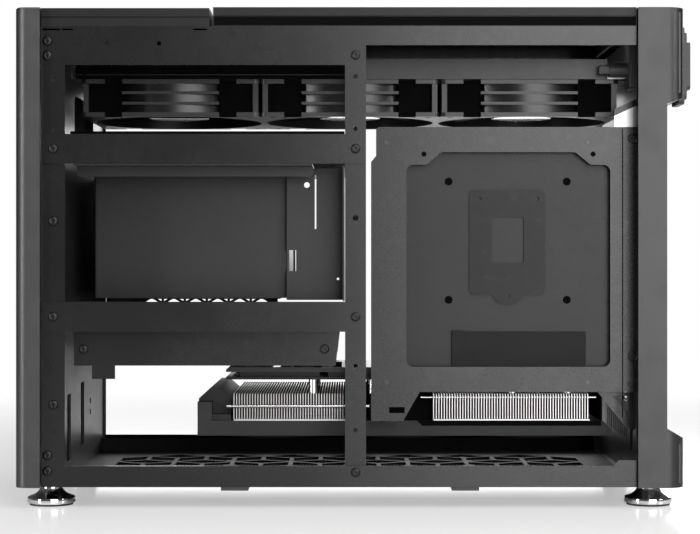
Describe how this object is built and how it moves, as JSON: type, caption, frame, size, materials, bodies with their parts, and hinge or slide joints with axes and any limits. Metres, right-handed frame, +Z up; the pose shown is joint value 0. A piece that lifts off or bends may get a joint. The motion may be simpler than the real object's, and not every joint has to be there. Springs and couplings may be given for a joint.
{
  "type": "mini-itx computer case",
  "caption": "Small upright computer case with both side panels off, showing its steel frame, fans, power supply bay, board tray and graphics card",
  "frame": {"origin": "centre of the bounding box at floor level, under the feet", "axes": "+X from the front panel to the rear panel, +Y from the near open side to the far open side, +Z up"},
  "size_m": [0.4408, 0.21, 0.336],
  "materials": {
    "panel_metal": "bead-blasted, dark anodised",
    "frame_steel": "fine satin black powder coat",
    "filter_plastic": "matte",
    "foot_chrome": "polished",
    "pad_rubber": "matte",
    "port_plastic": "satin",
    "pull_fabric": "woven",
    "fan_plastic": "satin",
    "supply_steel": "satin black",
    "standoff_steel": "turned, dark",
    "board_laminate": "lacquered laminate",
    "plate_steel": "satin",
    "drive_laminate": "lacquered laminate",
    "port_metal": "bright pressed steel",
    "slot_plastic": "moulded",
    "heat_sink": "bare fins",
    "pipe_metal": "nickel plated",
    "shroud_plastic": "satin",
    "card_back_plate": "satin",
    "screw_steel": "black oxide"
  },
  "bodies": {
    "case": {"front_panel": "panel_metal", "rear_panel": "panel_metal", "top_front_cover": "panel_metal", "top_vent_cover": "panel_metal", "near_side_frame": "frame_steel", "far_side_frame": "frame_steel", "near_centre_post": "frame_steel", "far_centre_post": "frame_steel", "near_upper_crossbar": "frame_steel", "near_lower_crossbar": "frame_steel", "far_upper_crossbar": "frame_steel", "far_lower_crossbar": "frame_steel", "front_inner_wall": "frame_steel", "rear_inner_wall": "frame_steel", "floor_plate": "frame_steel", "fan_bracket": "frame_steel", "supply_top_plate": "frame_steel", "supply_bracket": "frame_steel", "supply_vent_plate": "frame_steel", "drive_tray": "frame_steel", "motherboard_tray": "frame_steel", "support_strut": "frame_steel", "dust_filter": "filter_plastic", "feet": "foot_chrome", "foot_pads": "pad_rubber", "port_insert": "port_plastic", "power_inlet": "port_plastic", "inlet_boot": "port_plastic", "pull_tab": "pull_fabric", "fan_frame_1": "fan_plastic", "fan_frame_2": "fan_plastic", "fan_frame_3": "fan_plastic", "supply_housing": "supply_steel", "supply_fan_guard": "supply_steel", "stand_offs": "standoff_steel", "motherboard": "board_laminate", "graphics_board": "board_laminate", "cooler_back_plate": "plate_steel", "solid_state_drive": "drive_laminate", "port_block": "port_metal", "slot_bracket": "port_metal", "memory_slots": "slot_plastic", "memory_modules": "heat_sink", "processor_cooler": "heat_sink", "graphics_fins": "heat_sink", "graphics_pipes": "pipe_metal", "graphics_shroud": "shroud_plastic", "graphics_back_plate": "card_back_plate", "frame_screws": "screw_steel"},
    "fan_rotor_1_body": {"fan_rotor_1": "fan_plastic"},
    "fan_rotor_2_body": {"fan_rotor_2": "fan_plastic"},
    "fan_rotor_3_body": {"fan_rotor_3": "fan_plastic"},
    "supply_fan_rotor_body": {"supply_fan_rotor": "fan_plastic"},
    "graphics_fan_1_body": {"graphics_fan_1": "shroud_plastic"},
    "graphics_fan_2_body": {"graphics_fan_2": "shroud_plastic"},
    "graphics_fan_3_body": {"graphics_fan_3": "shroud_plastic"},
    "power_button_body": {"power_button": "panel_metal"}
  },
  "joints": [
    {"name": "fan_rotor_1_spin", "type": "hinge", "parent": "case", "child": "fan_rotor_1_body", "pos_m": [-0.1239, 0, 0.2693], "axis": [0, 0, 1], "continuous": true},
    {"name": "fan_rotor_2_spin", "type": "hinge", "parent": "case", "child": "fan_rotor_2_body", "pos_m": [-0.0039, 0, 0.2693], "axis": [0, 0, 1], "continuous": true},
    {"name": "fan_rotor_3_spin", "type": "hinge", "parent": "case", "child": "fan_rotor_3_body", "pos_m": [0.1161, 0, 0.2693], "axis": [0, 0, 1], "continuous": true},
    {"name": "supply_fan_rotor_spin", "type": "hinge", "parent": "case", "child": "supply_fan_rotor_body", "pos_m": [-0.1112, 0.0238, 0.1486], "axis": [0, 0, 1], "continuous": true},
    {"name": "graphics_fan_1_spin", "type": "hinge", "parent": "case", "child": "graphics_fan_1_body", "pos_m": [-0.0555, -0.006, 0.0481], "axis": [0, 0, 1], "continuous": true},
    {"name": "graphics_fan_2_spin", "type": "hinge", "parent": "case", "child": "graphics_fan_2_body", "pos_m": [0.0325, -0.006, 0.0481], "axis": [0, 0, 1], "continuous": true},
    {"name": "graphics_fan_3_spin", "type": "hinge", "parent": "case", "child": "graphics_fan_3_body", "pos_m": [0.1205, -0.006, 0.0481], "axis": [0, 0, 1], "continuous": true},
    {"name": "power_button_press", "type": "slide", "parent": "case", "child": "power_button_body", "axis": [0, 0, -1], "range_m": [0, 0.0012], "stiffness_N_per_m": 400, "springref_m": -0.0005}
  ]
}
